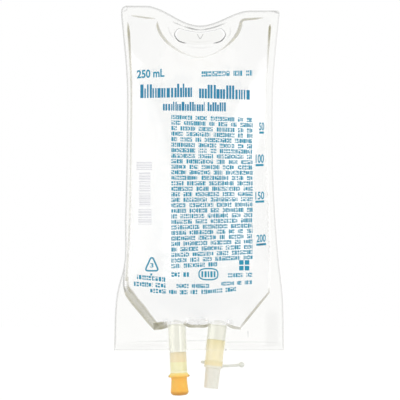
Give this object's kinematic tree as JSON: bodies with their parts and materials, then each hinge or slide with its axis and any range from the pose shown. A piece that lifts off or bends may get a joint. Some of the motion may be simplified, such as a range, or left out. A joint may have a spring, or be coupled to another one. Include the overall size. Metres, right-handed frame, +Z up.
{
  "type": "iv fluid bag",
  "caption": "Filled soft infusion bag with a hanger slot, an orange rubber injection site and a spike port under a pull-off cover.",
  "frame": {"origin": "top centre of the hanger slot, where a hook bears", "axes": "+Z up as the bag hangs, -Y out of the printed front, +X to the viewer's right, towards the outlet port"},
  "size_m": [0.1099, 0.0354, 0.2521],
  "materials": {
    "film": "clear soft film",
    "solution": "clear water-like liquid",
    "clear_tube": "clear soft tube",
    "amber_sleeve": "amber satin",
    "pale_housing": "pale yellow-green satin",
    "orange_rubber": "orange rubber",
    "straw_bush": "straw-coloured translucent",
    "pale_membrane": "pale film",
    "milky_cover": "milky translucent"
  },
  "bodies": {
    "bag": {"front_film": "film", "back_film": "film", "solution": "solution", "injection_port_tube": "clear_tube", "injection_membrane_sleeve": "amber_sleeve", "injection_site_housing": "pale_housing", "injection_site_cap": "orange_rubber", "outlet_port_tube": "clear_tube", "outlet_spike_bush": "straw_bush", "outlet_membrane": "pale_membrane"},
    "cover": {"outlet_cover": "milky_cover"}
  },
  "joints": [
    {"name": "cover_pull", "type": "slide", "parent": "bag", "child": "cover", "axis": [-0.1045, 0, -0.9945], "range_m": [0, 0.025]}
  ]
}
